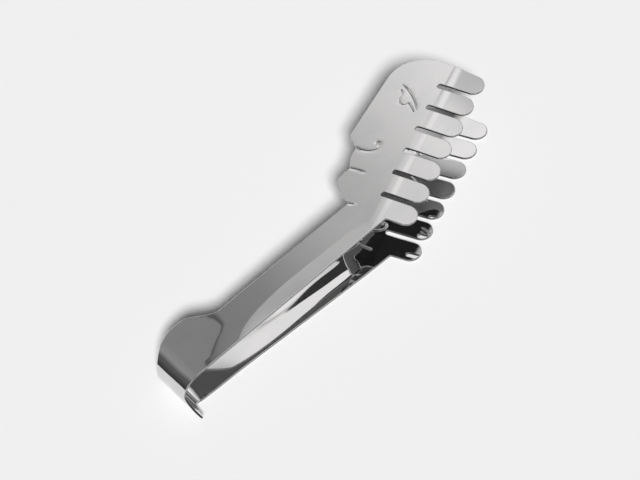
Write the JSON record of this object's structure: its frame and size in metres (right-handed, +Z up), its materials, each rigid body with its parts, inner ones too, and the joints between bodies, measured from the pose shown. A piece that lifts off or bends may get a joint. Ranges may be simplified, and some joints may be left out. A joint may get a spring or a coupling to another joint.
{
  "type": "spaghetti tongs",
  "caption": "Sprung tongs bent from one strip of polished steel, with a bow at one end and heads cut as a face in profile whose hair is a row of tines.",
  "frame": {"origin": "on the underside of the lower arm, on the neck's centre line, 92 mm from the line where the bow begins", "axes": "+X along the lower arm from the bow to the head, +Y to the side that the faces look to, +Z up from the surface that the lower arm lies on"},
  "size_m": [0.2071, 0.0692, 0.0375],
  "materials": {
    "bow_steel": "polished stainless steel",
    "lower_steel": "polished stainless steel",
    "upper_steel": "polished stainless steel"
  },
  "bodies": {
    "lower_arm": {"lower_arm": "lower_steel"},
    "bow": {"spring_bow": "bow_steel"},
    "upper_arm": {"upper_arm": "upper_steel"}
  },
  "joints": [
    {"name": "lower_flex", "type": "hinge", "parent": "lower_arm", "child": "bow", "pos_m": [-0.09185, 0, 0.0006], "axis": [0, 1, 0], "range_deg": [0, 4.6], "stiffness_Nm_per_rad": 8},
    {"name": "upper_flex", "type": "hinge", "parent": "bow", "child": "upper_arm", "pos_m": [-0.0927, 0, 0.02078], "axis": [0, 1, 0], "range_deg": [0, 4.6], "stiffness_Nm_per_rad": 8}
  ]
}
